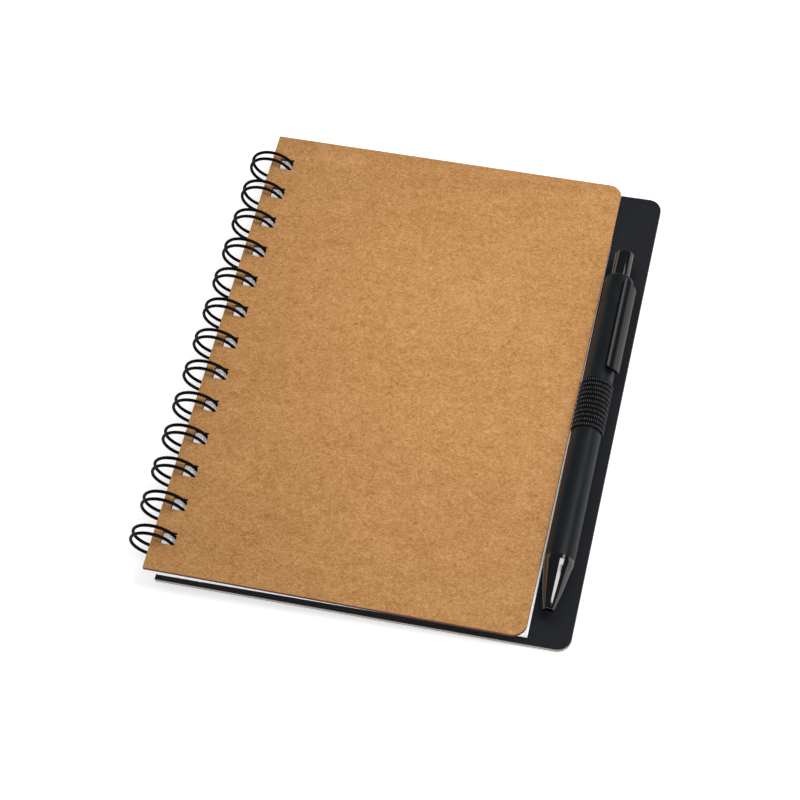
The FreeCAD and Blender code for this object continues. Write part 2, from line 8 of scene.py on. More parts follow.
# %% Load the notebook and list its solids
import json
import math
import bmesh
import bpy
from mathutils import Matrix, Vector


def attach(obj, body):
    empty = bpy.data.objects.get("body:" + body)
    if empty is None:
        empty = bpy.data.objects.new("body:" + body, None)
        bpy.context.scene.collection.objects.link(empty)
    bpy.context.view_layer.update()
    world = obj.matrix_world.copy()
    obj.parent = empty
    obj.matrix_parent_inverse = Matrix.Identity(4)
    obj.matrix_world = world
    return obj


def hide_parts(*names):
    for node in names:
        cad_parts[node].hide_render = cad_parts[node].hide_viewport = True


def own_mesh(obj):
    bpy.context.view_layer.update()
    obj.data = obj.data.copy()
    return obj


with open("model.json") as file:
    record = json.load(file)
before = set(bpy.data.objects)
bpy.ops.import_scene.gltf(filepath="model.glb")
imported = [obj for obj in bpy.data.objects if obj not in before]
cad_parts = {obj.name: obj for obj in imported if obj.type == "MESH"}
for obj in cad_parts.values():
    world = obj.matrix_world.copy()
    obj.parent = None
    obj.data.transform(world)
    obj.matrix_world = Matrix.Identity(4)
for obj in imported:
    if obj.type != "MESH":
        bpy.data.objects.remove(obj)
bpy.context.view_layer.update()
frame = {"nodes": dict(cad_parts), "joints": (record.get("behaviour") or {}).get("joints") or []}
print("solids", sorted(frame["nodes"]))

# %% [markdown]
# The notebook rests on its rings and on the far edge of the back board, so all
# of it leans a little about the spine. Every piece is easier to draw flat, about
# the centre of the rings: x runs to the fore edge, y up the spine and z up. The
# leaves spread on the wire, so the front cover leans a little more than the
# board. Each lean is read from the upper face of its solid, and the centre from
# the hinge of the pages, so nothing here can drift from the solids.

# %% Flat drawing space and back again
hinge = next(joint for joint in frame["joints"] if joint["name"] == "pages_turn")
RING_CENTRE = Vector(hinge["pos_m"])


def lean_of(node):
    """Angle by which a board's upper face leans towards the fore edge."""
    total = Vector((0, 0, 0))
    for face in frame["nodes"][node].data.polygons:
        if face.normal.z > 0.9:
            total += face.normal * face.area
    return math.atan2(total.x, total.z)


COVER_LEAN = lean_of("front_cover")
BOARD_LEAN = lean_of("back_cover")
COVER_SPACE = Matrix.Translation(RING_CENTRE) @ Matrix.Rotation(COVER_LEAN, 4, "Y")
BOARD_SPACE = Matrix.Translation(RING_CENTRE) @ Matrix.Rotation(BOARD_LEAN, 4, "Y")


def flat_box(node, space=BOARD_SPACE):
    """Lowest and highest corner of a solid in a flat space, in metres."""
    to_flat = space.inverted()
    points = [to_flat @ v.co for v in frame["nodes"][node].data.vertices]
    low = Vector([min(p[k] for p in points) for k in range(3)])
    high = Vector([max(p[k] for p in points) for k in range(3)])
    return low, high


print("leans in degrees", [round(math.degrees(lean), 3) for lean in (COVER_LEAN, BOARD_LEAN)])

# %% [markdown]
# A camera comes before the looks, because every colour is judged through it.
# Its place and turn were found by laying the corners of the boards, the holes
# and the pen on the matching corners of the photograph. The lens is long, as a
# product photographer would choose, and the picture is square.

# %% Camera
CAMERA_PLACE = (0.14838, -0.38607, 0.64446)
CAMERA_TURN = (31.951, 5.2878, 12.9342)
LENS = 102.372
SENSOR = 36.0


def new_object(name, data):
    """An object in the scene that shows some data, such as a mesh or a lamp."""
    made = bpy.data.objects.new(name, data)
    bpy.context.scene.collection.objects.link(made)
    return made


def make_camera():
    data = bpy.data.cameras.new("camera")
    data.lens = LENS
    data.sensor_width = SENSOR
    data.sensor_fit = "HORIZONTAL"
    data.clip_start = 0.01
    data.clip_end = 20
    camera = new_object("camera", data)
    camera.location = CAMERA_PLACE
    camera.rotation_euler = [math.radians(turn) for turn in CAMERA_TURN]
    bpy.context.scene.camera = camera


make_camera()
bpy.context.scene.view_settings.view_transform = "Standard"
print("camera at", CAMERA_PLACE, "lens", LENS)

# %% [markdown]
# Materials and repeated shapes are both made of nodes, and long lists of nodes
# and links are hard to read. One small class holds a socket and turns plus,
# minus and times into Math nodes. One method adds every other node: it takes the
# type, the settings and then the values or links of the sockets.

# %% A short way to write nodes
class Value:
    """One output of a node. Arithmetic on it adds Math nodes to the same tree."""

    def __init__(self, tree, node, output):
        self.tree = tree
        self.made = node
        self.socket = node.outputs[output] if node.outputs else None

    def output(self, name):
        """Another output of the same node."""
        return Value(self.tree, self.made, name)

    def math(self, operation, first, second):
        return self.tree.node("ShaderNodeMath", {"operation": operation}, [first, second])

    def __add__(self, other):
        return self.math("ADD", self, other)

    def __sub__(self, other):
        return self.math("SUBTRACT", self, other)

    def __mul__(self, other):
        return self.math("MULTIPLY", self, other)

    def __rsub__(self, other):
        return self.math("SUBTRACT", other, self)

    __radd__ = __add__
    __rmul__ = __mul__

    def between(self, low, high):
        """0 below low, 1 above high and a smooth rise in between."""
        settings = {"interpolation_type": "SMOOTHSTEP"}
        return self.tree.node("ShaderNodeMapRange", settings, {"Value": self, 1: low, 2: high})


class Tree:
    """A node tree that is filled one node at a time."""

    def __init__(self, nodes):
        self.nodes = nodes

    def node(self, kind, settings=None, values=(), output=0):
        """Add a node, apply its settings, then fill or link its sockets."""
        made = self.nodes.nodes.new(kind)
        for name, setting in (settings or {}).items():
            setattr(made, name, setting)
        pairs = values.items() if isinstance(values, dict) else enumerate(values)
        for key, value in pairs:
            if isinstance(value, Value):
                self.nodes.links.new(value.socket, made.inputs[key])
            elif value is not None:
                made.inputs[key].default_value = value
        return Value(self, made, output)

    def mix(self, share, first, second):
        """The first colour where share is 0 and the second where it is 1."""
        values = {0: share, 6: first, 7: second}
        return self.node("ShaderNodeMix", {"data_type": "RGBA"}, values, 2)


def tone(red, green, blue):
    """A colour as it reads on a screen, 0 to 255, turned into light."""
    light = []
    for part in (red, green, blue):
        share = part / 255
        light.append(share / 12.92 if share <= 0.04045 else ((share + 0.055) / 1.055) ** 2.4)
    return (*light, 1.0)


# %% [markdown]
# A finish is a material with one Principled shader. Its patterns are drawn in
# Object coordinates, which are the notebook's own metres, so a grain of half a
# millimetre stays half a millimetre on every piece. Noise is the main pattern:
# its scale is one over the size of its blotches.

# %% What every finish starts from
FINISHES = {}
LAYER_STRETCH = 0.3


class Finish(Tree):
    """A material whose patterns are laid out in the notebook's own metres."""

    def __init__(self, name):
        self.material = bpy.data.materials.new(name)
        self.material.use_nodes = True
        super().__init__(self.material.node_tree)
        self.nodes.nodes.clear()
        self.place = self.node("ShaderNodeTexCoord").output("Object")

    def stretched(self, x, y, z):
        """Object coordinates with each axis multiplied, to draw long or short grains."""
        return self.node(
            "ShaderNodeVectorMath", {"operation": "MULTIPLY"}, [self.place, (x, y, z)]
        )

    def noise(self, grain, detail=2.0, place=None):
        """Noise around zero, with blotches of about the grain's size in metres."""
        values = {"Vector": place or self.place, "Scale": 1 / grain, "Detail": detail}
        return self.node("ShaderNodeTexNoise", None, values) - 0.5

    def layers(self, grain, flatness, detail=2.0):
        """Noise in long thin layers, as on the cut edge of board or paper."""
        return self.noise(grain, detail, self.stretched(LAYER_STRETCH, LAYER_STRETCH, flatness))

    def bump(self, height, distance, strength):
        """Unevenness of a distance in metres, and a strength that can fade it."""
        values = {"Height": height, "Distance": distance, "Strength": strength}
        return self.node("ShaderNodeBump", None, values)

    def scaled(self, colour, level):
        """A colour made lighter or darker by a level around one."""
        values = {0: colour[:3], "Scale": level}
        return self.node("ShaderNodeVectorMath", {"operation": "SCALE"}, values)

    def shade(self, values):
        """Close the material with a Principled shader and return it."""
        surface = self.node("ShaderNodeBsdfPrincipled", None, values)
        self.node("ShaderNodeOutputMaterial", None, {"Surface": surface})
        return self.material


# %% [markdown]
# Kraft board is pressed from brown wood fibre. Close up it is a fine mottle of
# lighter and darker fibres, longer across the cover than along it, with a few
# dark specks of bark and a few pale ones. Several layers of noise, each with its
# own grain, give the mottle. A pale fibre is greyer than a dark one, so the
# mottle adds a tint to the brown and doesn't just scale it. A Voronoi pattern
# scatters the specks: each cell has one, and its random colour decides whether
# the speck is drawn.

# %% Kraft board
KRAFT = tone(198, 145, 90)
KRAFT_DARK = tone(120, 78, 42)
KRAFT_PALE = tone(226, 182, 132)
KRAFT_CUT = tone(108, 73, 58)
FIBRE_TINT = (0.56, 0.37, 0.21)
FIBRE_STRETCH = 0.75
FIBRE_GRAINS = [
    (0.00032, 0.85), (0.00065, 0.50), (0.0013, 0.34), (0.0034, 0.24), (0.0085, 0.13), (0.030, 0.12)
]
SPECKS = [
    {"colour": KRAFT_DARK, "spacing": 0.0032, "radius": 0.00034, "share": 0.5, "strength": 0.55},
    {"colour": KRAFT_PALE, "spacing": 0.0041, "radius": 0.00036, "share": 0.4, "strength": 0.35},
]


def specks(finish, kind):
    """Scattered round specks: how much of their colour a point has."""
    values = {"Vector": finish.place, "Scale": 1 / kind["spacing"]}
    cells = finish.node("ShaderNodeTexVoronoi", None, values)
    chance = finish.node("ShaderNodeSeparateColor", None, [cells.output("Color")])
    reach = kind["radius"] / kind["spacing"]
    inside = 1 - cells.between(reach * 0.5, reach)
    wanted = 1 - chance.between(kind["share"], kind["share"] + 0.01)
    return inside * wanted * kind["strength"]


def kraft_paper():
    finish = Finish("kraft paper")
    across = finish.stretched(FIBRE_STRETCH, 1.0, 1.0)
    mottle = 0
    for grain, strength in FIBRE_GRAINS:
        mottle = finish.noise(grain, 1.0, across) * strength + mottle
    values = {0: mottle, 1: FIBRE_TINT, 2: KRAFT[:3]}
    colour = finish.node("ShaderNodeVectorMath", {"operation": "MULTIPLY_ADD"}, values)
    for kind in SPECKS:
        colour = finish.mix(specks(finish, kind), colour, kind["colour"])
    return finish.shade({
        "Base Color": colour,
        "Roughness": 0.82,
        "Specular IOR Level": 0.25,
        "Normal": finish.bump(mottle, 0.00006, 0.35),
    })


def kraft_cut():
    finish = Finish("kraft board cut")
    layers = finish.layers(0.0011, 5.0)
    fibres = finish.noise(0.0004, 1.0)
    return finish.shade({
        "Base Color": finish.scaled(KRAFT_CUT, layers * 0.5 + fibres * 0.25 + 1.0),
        "Roughness": 0.9,
        "Specular IOR Level": 0.2,
        "Normal": finish.bump(layers + fibres, 0.00008, 0.5),
    })


FINISHES["kraft_paper"] = kraft_paper()
FINISHES["kraft_cut"] = kraft_cut()
print("kraft brown", [round(part, 3) for part in KRAFT[:3]])


# %% [markdown]
# The back board is grey board with black paper on both faces. The paper hides
# the board except at the cut edges, where a thin black line lies above and below
# the grey-brown core. How high a point lies in the board says which it is: the
# height is the distance from the lower face, measured along the board's own
# upright, which leans with the board.

# %% Black faced board
BLACK_PAPER = tone(36, 38, 43)
GREY_CORE = tone(186, 174, 166)
FACE_PAPER = 0.00032
RAGGED_EDGE = 0.0002


def height_in_board(finish):
    """Height of a point above the lower face of the back board, in metres."""
    foot = BOARD_SPACE @ flat_box("back_cover")[0]
    upright = (math.sin(BOARD_LEAN), 0.0, math.cos(BOARD_LEAN))
    from_foot = finish.node(
        "ShaderNodeVectorMath", {"operation": "SUBTRACT"}, [finish.place, tuple(foot)]
    )
    return finish.node(
        "ShaderNodeVectorMath", {"operation": "DOT_PRODUCT"}, [from_foot, upright], "Value"
    )


def black_paper():
    finish = Finish("black paper")
    grain = finish.noise(0.0006, 3.0)
    clouds = finish.noise(0.006)
    return finish.shade({
        "Base Color": finish.scaled(BLACK_PAPER, grain * 0.35 + clouds * 0.2 + 1.0),
        "Roughness": grain * 0.2 + 0.7,
        "Specular IOR Level": 0.12,
        "Normal": finish.bump(grain, 0.00005, 0.3),
    })


def black_board_cut():
    finish = Finish("black board cut")
    low, high = flat_box("back_cover")
    upper_face = high.z - low.z
    height = height_in_board(finish) + finish.noise(0.0009) * RAGGED_EDGE
    above = height.between(FACE_PAPER / 2, FACE_PAPER)
    below = 1 - height.between(upper_face - FACE_PAPER, upper_face - FACE_PAPER / 2)
    layers = finish.layers(0.0012, 4.0)
    grey = finish.scaled(GREY_CORE, layers * 0.35 + 1.0)
    return finish.shade({
        "Base Color": finish.mix(above * below, BLACK_PAPER, grey),
        "Roughness": 0.85,
        "Specular IOR Level": 0.25,
        "Normal": finish.bump(layers, 0.00006, 0.5),
    })


FINISHES["black_paper"] = black_paper()
FINISHES["black_cut"] = black_board_cut()
print("face paper in mm", FACE_PAPER * 1000)


# %% [markdown]
# The leaves are plain white wood-free paper. The faces are nearly even, so only
# a faint cloudiness and a very small tooth keep them from looking like plastic.
# Light that soaks into a stack of paper comes out again around it, and a weak
# painted glow of the paper's own stands in for that, though paper is no lamp.
# The cut edges inside the holes are painted darker grey as shade, since they lie
# deep in the holes, so they have a darker finish without the glow.

# %% Paper
PAPER = tone(253, 253, 253)
PAPER_CLOUD = tone(247, 247, 249)
# The next two tones are painted shade for the walls inside the holes, darker than the paper.
HOLE_PAINTED_SHADE = tone(96, 92, 92)
PAPER_SHADE = tone(150, 146, 146)
# A painted glow: the leaves give out a little light of their own, though they are no lamp.
PAINTED_PAPER_GLOW = 0.2


def leaf_paper():
    finish = Finish("leaf paper")
    clouds = finish.noise(0.004, 3.0)
    tooth = finish.noise(0.00035)
    return finish.shade({
        "Base Color": finish.mix(clouds + 0.5, PAPER_CLOUD, PAPER),
        "Roughness": 0.88,
        "Specular IOR Level": 0.2,
        # Painted glow, standing in for light that passes through the stack.
        "Emission Color": PAPER,
        "Emission Strength": PAINTED_PAPER_GLOW,
        "Normal": finish.bump(tooth, 0.00003, 0.3),
    })


# The walls inside the holes get painted shade: a grey that stands for the shade deep in the holes.
def painted_shade_hole_edges():
    finish = Finish("leaf hole edges")
    layers = finish.layers(0.0004, 3.0, 1.0)
    return finish.shade({
        "Base Color": finish.mix(layers + 0.5, HOLE_PAINTED_SHADE, PAPER_SHADE),
        "Roughness": 0.9,
        "Specular IOR Level": 0.1,
        "Normal": finish.bump(layers, 0.00003, 0.3),
    })


FINISHES["leaf"] = leaf_paper()
FINISHES["leaf_holes_painted_shade"] = painted_shade_hole_edges()
print("paper glow", PAINTED_PAPER_GLOW)


# %% [markdown]
# Black things are told apart by how they reflect. The coated wire is smooth but
# not polished, the pen barrel has a soft rubbery lacquer, the nose cone and the
# button are polished, and the clip lies between. One function makes them all,
# from a colour, a roughness and the size of the unevenness in their surface.

# %% Black and moulded finishes
SMEAR_SIZE = 14
SMEAR_TONE = 0.78


def moulded(name, colour, roughness, uneven, grain, specular=0.5):
    """Plastic or lacquer with a fine ripple and wide faint smears."""
    finish = Finish(name)
    ripple = finish.noise(grain)
    smear = finish.noise(grain * SMEAR_SIZE)
    darker = (*[part * SMEAR_TONE for part in colour[:3]], 1.0)
    return finish.shade({
        "Base Color": finish.mix(smear + 0.5, darker, colour),
        "Roughness": smear * (uneven * 2) + roughness,
        "Specular IOR Level": specular,
        "Normal": finish.bump(ripple, grain * 0.04, uneven),
    })


def metal(name, colour, roughness, grain):
    """Bare metal with fine marks along the pen, as turning and drawing leave."""
    finish = Finish(name)
    drawn = finish.noise(grain, 2.0, finish.stretched(1.0, 0.08, 1.0))
    return finish.shade({
        "Base Color": colour,
        "Metallic": 1.0,
        "Roughness": drawn * 0.25 + roughness,
        "Normal": finish.bump(drawn, grain * 0.05, 0.3),
    })


def knitted(name, colour):
    """Elastic yarn: dull, with uneven strands and a little dust."""
    finish = Finish(name)
    strands = finish.noise(0.00022)
    dust = finish.noise(0.0011, 1.0)
    return finish.shade({
        "Base Color": finish.scaled(colour, strands * 1.6 + dust * 1.6 + 1.0),
        "Roughness": 0.7,
        "Specular IOR Level": 0.12,
        "Normal": finish.bump(strands, 0.00008, 0.6),
    })


FINISHES.update({
    "wire": moulded("coated wire", tone(6, 6, 7), 0.4, 0.10, 0.0012, 0.1),
    # The stitches are painted lighter grey than the black yarn, a painted sheen, and the ground is
    # painted near black as shade between them.
    "yarn": knitted("stitches of the elastic", tone(92, 92, 97)),
    "rubber": knitted("ground of the elastic", tone(4, 4, 5)),
    "barrel": moulded("soft touch", tone(24, 29, 32), 0.42, 0.12, 0.0006, 0.28),
    "gloss": moulded("gloss black", tone(5, 5, 6), 0.08, 0.01, 0.004, 1.0),
    "clip": moulded("satin black", tone(10, 11, 13), 0.2, 0.05, 0.0012, 0.55),
    "rotor": moulded("white moulding", tone(228, 228, 224), 0.4, 0.05, 0.001),
    "refill": moulded("refill tube", tone(205, 208, 210), 0.25, 0.03, 0.001),
    "brass": metal("brass", tone(212, 178, 106), 0.24, 0.0005),
    "steel": metal("spring steel", tone(196, 196, 198), 0.28, 0.0004),
})
print("finishes", sorted(FINISHES))

# %% [markdown]
# Pieces are made as meshes in the flat space and then laid down on the table in
# one step, so a finished object sits at the origin with its place in its mesh.
# Edges that are folded, moulded or cut are never knife sharp: the boards get a
# narrow bevel, and turned pieces get round corners in their outline.

# %% Helpers for meshes
SMOOTH_ANGLE = math.radians(32)
SIDEWAYS = 0.3


def mesh_object(name, mesh, finishes, body, replaced):
    """A finished piece: smooth shaded, with its finishes, riding on its body."""
    mesh.name = name
    for finish in finishes:
        mesh.materials.append(FINISHES[finish])
    piece = new_object(name, mesh)
    mesh.shade_smooth()
    mesh.set_sharp_from_angle(angle=SMOOTH_ANGLE)
    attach(piece, body)
    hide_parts(*replaced)
    print(name, len(mesh.polygons), "faces")
    return piece


def mesh_from(shape):
    """The shape as a mesh that objects can show."""
    mesh = bpy.data.meshes.new("shape")
    shape.to_mesh(mesh)
    shape.free()
    return mesh


def bevel_sharp(shape, angle, width, segments, clamp=False):
    """Round every edge whose faces meet at more than an angle, in degrees."""
    sharp = [
        edge for edge in shape.edges
        if len(edge.link_faces) == 2 and edge.calc_face_angle() > math.radians(angle)
    ]
    bmesh.ops.bevel(
        shape, geom=sharp, offset=width, segments=segments, profile=0.5, affect="EDGES",
        clamp_overlap=clamp,
    )


# %% [markdown]
# The boards keep the exact outline of their solids, holes and round corners
# included. A copy of the solid's mesh is merged, its flat faces are joined, and
# every sharp edge gets a bevel a tenth of a millimetre wide. Faces that look
# sideways are the cut edge, and take the second finish.

# %% Front cover and back board
BOARD_BEVEL = 0.00013
MERGE_DISTANCE = 0.000001
FLAT_ANGLE = math.radians(0.5)


def board(name, node, body, finishes):
    """A board from its solid, with narrow bevels and another finish on its cut edge."""
    shape = bmesh.new()
    shape.from_mesh(frame["nodes"][node].data)
    bmesh.ops.remove_doubles(shape, verts=shape.verts, dist=MERGE_DISTANCE)
    bmesh.ops.dissolve_limit(
        shape, angle_limit=FLAT_ANGLE, verts=shape.verts, edges=shape.edges
    )
    bevel_sharp(shape, angle=40, width=BOARD_BEVEL, segments=2)
    upright = Vector((math.sin(BOARD_LEAN), 0, math.cos(BOARD_LEAN)))
    for face in shape.faces:
        face.material_index = 1 if abs(face.normal.dot(upright)) < SIDEWAYS else 0
    mesh_object(name, mesh_from(shape), finishes, body, [node])


board("kraft_cover", "front_cover", "front", ["kraft_paper", "kraft_cut"])
board("back_board", "back_cover", "back", ["black_paper", "black_cut"])

# %% [markdown]
# A page block shows its leaves at the edges: thin lines that are never quite
# even, because each sheet is punched and trimmed in a stack and then shifts a
# little on the wire. One leaf is drawn with its holes, and Geometry Nodes repeat
# it from the top down. Each copy turns a little more about the rings than the
# one above, since the leaves spread there, and moves by a random amount of less
# than a tenth of a millimetre. The tree takes its numbers through named inputs.
# The whole stack is then turned by a quarter of a degree in its own plane, as
# the sheets in the photo are.

# %% Tools for Geometry Nodes
def new_tree(name, inputs):
    """A geometry tree with named inputs: the tree, their values and their sockets."""
    group = bpy.data.node_groups.new(name, "GeometryNodeTree")
    sockets = {}
    for label, kind in inputs:
        sockets[label] = group.interface.new_socket(
            name=label, in_out="INPUT", socket_type="NodeSocket" + kind
        )
    group.interface.new_socket(name="Geometry", in_out="OUTPUT", socket_type="NodeSocketGeometry")
    tree = Tree(group)
    start = tree.node("NodeGroupInput")
    given = {label: start.output(label) for label in sockets}
    return tree, given, sockets


def close_tree(tree, shape, finish):
    """Realize the copies, give them their finish and end the tree."""
    real = tree.node("GeometryNodeRealizeInstances", None, [shape])
    painted = tree.node(
        "GeometryNodeSetMaterial", None, {"Geometry": real, "Material": FINISHES[finish]}
    )
    tree.node("NodeGroupOutput", None, [painted])


def grow(tree, sockets, numbers):
    """Run a tree on an empty object and return the mesh that it makes."""
    holder = new_object("holder", bpy.data.meshes.new("holder"))
    modifier = holder.modifiers.new("nodes", "NODES")
    modifier.node_group = tree.nodes
    for label, number in numbers.items():
        modifier[sockets[label].identifier] = number
    scene_state = bpy.context.evaluated_depsgraph_get()
    mesh = bpy.data.meshes.new_from_object(holder.evaluated_get(scene_state))
    holder.modifiers.remove(modifier)
    bpy.data.objects.remove(holder)
    mesh.materials.clear()
    return mesh


# %% One leaf, and the stack of leaves
LEAF_COUNT = 35
LEAF_GAP = 0.000012
LEAF_SHIFT = 0.00007
LEAF_SKEW = math.radians(0.28)
LEAF_TRIM = 0.00025
LEAF_SEED = 7
LOOP_COUNT = 13
LOOP_PITCH = 0.0127
HOLE_EDGE = 0.0031
HOLE_WIDTH = 0.0047
HOLE_HEIGHT = 0.00447
HOLE_SLACK = 0.0004
block_low, block_high = flat_box("page_block", COVER_SPACE)


def loop_heights():
    """Middle of each pair of wires, up the spine, in the flat space."""
    low, high = flat_box("wire_binding")
    middle = (low.y + high.y) / 2
    first = middle - LOOP_PITCH * (LOOP_COUNT - 1) / 2
    return [first + LOOP_PITCH * k for k in range(LOOP_COUNT)]


def block_depth(x):
    """Thickness of the leaves at a distance from the ring centre."""
    under = COVER_SPACE.inverted() @ BOARD_SPACE @ Vector((x, 0, flat_box("back_cover")[1].z))
    return block_high.z - under.z


def leaf_mesh(thickness):
    """A leaf with its row of holes, as an object that the tree can copy."""
    left, right = block_low.x, block_high.x - LEAF_TRIM
    columns = [left, left + HOLE_EDGE, left + HOLE_EDGE + HOLE_WIDTH, right]
    rows = [block_low.y]
    for height in loop_heights():
        rows += [height - HOLE_HEIGHT / 2, height + HOLE_HEIGHT / 2]
    rows.append(block_high.y)
    shape = bmesh.new()
    for level in (0, -thickness):
        for y in rows:
            for x in columns:
                shape.verts.new((x, y, level))
    shape.verts.ensure_lookup_table()
    wide = len(columns)
    layer = wide * len(rows)
    cells = [
        (i, j) for j in range(len(rows) - 1) for i in range(wide - 1) if i != 1 or j % 2 == 0
    ]
    walls = {}
    for i, j in cells:
        corner = j * wide + i
        around = [corner, corner + 1, corner + 1 + wide, corner + wide]
        shape.faces.new([shape.verts[k] for k in around])
        shape.faces.new([shape.verts[k + layer] for k in reversed(around)])
        for start, end in zip(around, around[1:] + around[:1]):
            if not walls.pop((end, start), False):
                walls[(start, end)] = True
    for start, end in walls:
        shape.faces.new([shape.verts[k] for k in (end, start, start + layer, end + layer)])
    return new_object("leaf", mesh_from(shape))


def leaf_tree():
    """A tree that repeats a leaf from the top down, and the sockets of its inputs."""
    tree, given, sockets = new_tree(
        "stack of leaves",
        [
            ("Leaf", "Object"), ("Count", "Int"), ("Step", "Float"),
            ("Turn", "Float"), ("Shift", "Float"),
        ],
    )
    number = tree.node("GeometryNodeInputIndex")
    fall = tree.node("ShaderNodeCombineXYZ", None, {"Z": given["Step"] * -1})
    line = tree.node("GeometryNodeMeshLine", None, {"Count": given["Count"], "Offset": fall})
    amount = tree.node("ShaderNodeCombineXYZ", None, {"X": given["Shift"], "Y": given["Shift"]})
    back = tree.node("ShaderNodeVectorMath", {"operation": "SCALE"}, {0: amount, "Scale": -1.0})
    span = {0: back, 1: amount, "Seed": LEAF_SEED}
    moved = tree.node("FunctionNodeRandomValue", {"data_type": "FLOAT_VECTOR"}, span)
    points = tree.node("GeometryNodeSetPosition", None, {"Geometry": line, "Offset": moved})
    source = tree.node("GeometryNodeObjectInfo", None, {"Object": given["Leaf"]})
    turn = tree.node("ShaderNodeCombineXYZ", None, {"Y": number * given["Turn"]})
    copies = tree.node(
        "GeometryNodeInstanceOnPoints",
        None,
        {"Points": points, "Instance": source.output("Geometry"), "Rotation": turn},
    )
    close_tree(tree, copies, "leaf")
    return tree, sockets


def in_hole(face):
    """Whether a face of the stack is a wall inside one of its holes."""
    from_hole = face.center.x - block_low.x - HOLE_EDGE
    across = -HOLE_SLACK < from_hole < HOLE_WIDTH + HOLE_SLACK
    along = abs(face.center.y) < block_high.y - HOLE_EDGE
    return across and along and abs(face.normal.z) < SIDEWAYS


def leaf_stack():
    leaf = leaf_mesh(block_depth(block_high.x) / LEAF_COUNT - LEAF_GAP)
    tree, sockets = leaf_tree()
    numbers = {
        "Leaf": leaf,
        "Count": LEAF_COUNT,
        "Step": block_depth(0) / LEAF_COUNT,
        "Turn": (BOARD_LEAN - COVER_LEAN) / LEAF_COUNT,
        "Shift": LEAF_SHIFT,
    }
    mesh = grow(tree, sockets, numbers)
    bpy.data.objects.remove(leaf)
    for face in mesh.polygons:
        face.material_index = int(in_hole(face))
    skewed = Matrix.Rotation(LEAF_SKEW, 4, "Z")
    mesh.transform(COVER_SPACE @ skewed @ Matrix.Translation((0, 0, block_high.z - LEAF_GAP)))
    mesh_object("leaves", mesh, ["leaf", "leaf_holes_painted_shade"], "pages", ["page_block"])


leaf_stack()

# %% [markdown]
# Twin-loop wire is one length of wire. It goes round a ring, bends back at the
# tip, returns beside itself and turns along the spine to the next pair. The line
# is worked out by a loop over the pairs: an arc up, a half turn at the tip, an
# arc back, and two quarter turns with a straight between. Geometry Nodes then
# lay a round section along that line, so the thickness is one number.

# %% Twin-loop wire
RING_RADIUS = 0.00745
WIRE_WIDTH = 0.0011
LOOP_SPACING = 0.0029
ROOT_ANGLE = -60.0
ROOT_BEND = 0.001
TIP_GAP = 0.0002
RING_STEPS = 56
BEND_STEPS = 7
WIRE_SIDES = 14


def on_ring(angle, y, along=0.0):
    """A point on the rings; along moves it off them, in the plane that touches them."""
    turn = math.radians(angle)
    across, up = math.cos(turn), math.sin(turn)
    return Vector((RING_RADIUS * across - along * up, y, RING_RADIUS * up + along * across))


def bend_points(angle, centre_y, centre_along, radius, start, end):
    """Points of a bend from one angle to another, in degrees, on the rings' skin."""
    points = []
    for k in range(1, BEND_STEPS):
        turn = math.radians(start + (end - start) * k / BEND_STEPS)
        y = centre_y + radius * math.cos(turn)
        points.append(on_ring(angle, y, centre_along + radius * math.sin(turn)))
    return points


def wire_line():
    """Every point of the wire, from one end of the spine to the other."""
    heights = loop_heights()
    half = LOOP_SPACING / 2
    apart = half + ROOT_BEND + WIRE_WIDTH * 2 / math.sqrt(3) + TIP_GAP
    setback = math.sqrt(apart ** 2 - (half + ROOT_BEND) ** 2)
    tip = ROOT_ANGLE + 360 - math.degrees(setback / RING_RADIUS)
    arc = [ROOT_ANGLE + (tip - ROOT_ANGLE) * k / RING_STEPS for k in range(RING_STEPS + 1)]
    points = []
    for y in heights:
        if points:
            points += bend_points(ROOT_ANGLE, y - half - ROOT_BEND, 0, ROOT_BEND, -90, 0)
        points += [on_ring(angle, y - half) for angle in arc]
        points += bend_points(tip, y, 0, half, 180, 0)
        points += [on_ring(angle, y + half) for angle in reversed(arc)]
        if y != heights[-1]:
            points += bend_points(ROOT_ANGLE, y + half + ROOT_BEND, 0, ROOT_BEND, 180, 270)
            points.append(on_ring(ROOT_ANGLE, y + half + ROOT_BEND, -ROOT_BEND))
            points.append(on_ring(ROOT_ANGLE, y + LOOP_PITCH - half - ROOT_BEND, -ROOT_BEND))
    return points


def line_object(points):
    """The line as an object that a tree can read."""
    curve = bpy.data.curves.new("line", "CURVE")
    curve.dimensions = "3D"
    spline = curve.splines.new("POLY")
    spline.points.add(len(points) - 1)
    for spot, point in zip(spline.points, points):
        spot.co = (*point, 1)
    return new_object("line", curve)


def rod_mesh(points, width, sides, finish):
    """A round rod along a line, by a tree whose inputs are its width and sides."""
    line = line_object(points)
    tree, given, sockets = new_tree(
        "rod along a line", [("Line", "Object"), ("Width", "Float"), ("Sides", "Int")]
    )
    source = tree.node("GeometryNodeObjectInfo", None, {"Object": given["Line"]})
    section = tree.node(
        "GeometryNodeCurvePrimitiveCircle",
        None,
        {"Resolution": given["Sides"], "Radius": given["Width"] * 0.5},
    )
    rod = tree.node(
        "GeometryNodeCurveToMesh",
        None,
        {"Curve": source.output("Geometry"), "Profile Curve": section, "Fill Caps": True},
    )
    close_tree(tree, rod, finish)
    mesh = grow(tree, sockets, {"Line": line, "Width": width, "Sides": sides})
    bpy.data.objects.remove(line)
    return mesh


def twin_wire():
    mesh = rod_mesh(wire_line(), WIRE_WIDTH, WIRE_SIDES, "wire")
    mesh.transform(BOARD_SPACE)
    mesh_object("twin_wire", mesh, ["wire"], "back", ["wire_binding"])


twin_wire()

# %% [markdown]
# A pen is made of turned pieces. Each outline lists a radius, a height and how
# round that corner is, and a lathe spins it about the pen's axis. Round corners
# matter: the fine bright line where two black pieces meet is light caught by
# their edges. Heights are measured along the spine from its middle.

